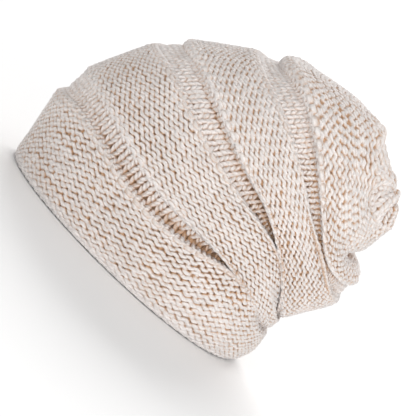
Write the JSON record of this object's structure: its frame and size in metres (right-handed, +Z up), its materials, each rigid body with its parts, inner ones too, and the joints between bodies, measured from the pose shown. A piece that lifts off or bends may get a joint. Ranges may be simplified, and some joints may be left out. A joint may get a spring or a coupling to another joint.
{
  "type": "knitted beanie",
  "caption": "Slouchy knitted hat standing on its rim: purl welts with sunk knit channels between them, folded at the nape, and a gathered crown closed by a drawn yarn.",
  "frame": {"origin": "centre of the hat's box seen from above, at the plane the rim stands on", "axes": "+Z up, -Y towards the forehead, +Y towards the nape, +X towards the wearer's left"},
  "size_m": [0.186, 0.2471, 0.1952],
  "materials": {
    "knit_yarn": "chunky plied yarn, matt, cream"
  },
  "bodies": {
    "root": {"knit_shell": "knit_yarn", "crown_draw_yarn": "knit_yarn"}
  },
  "joints": []
}
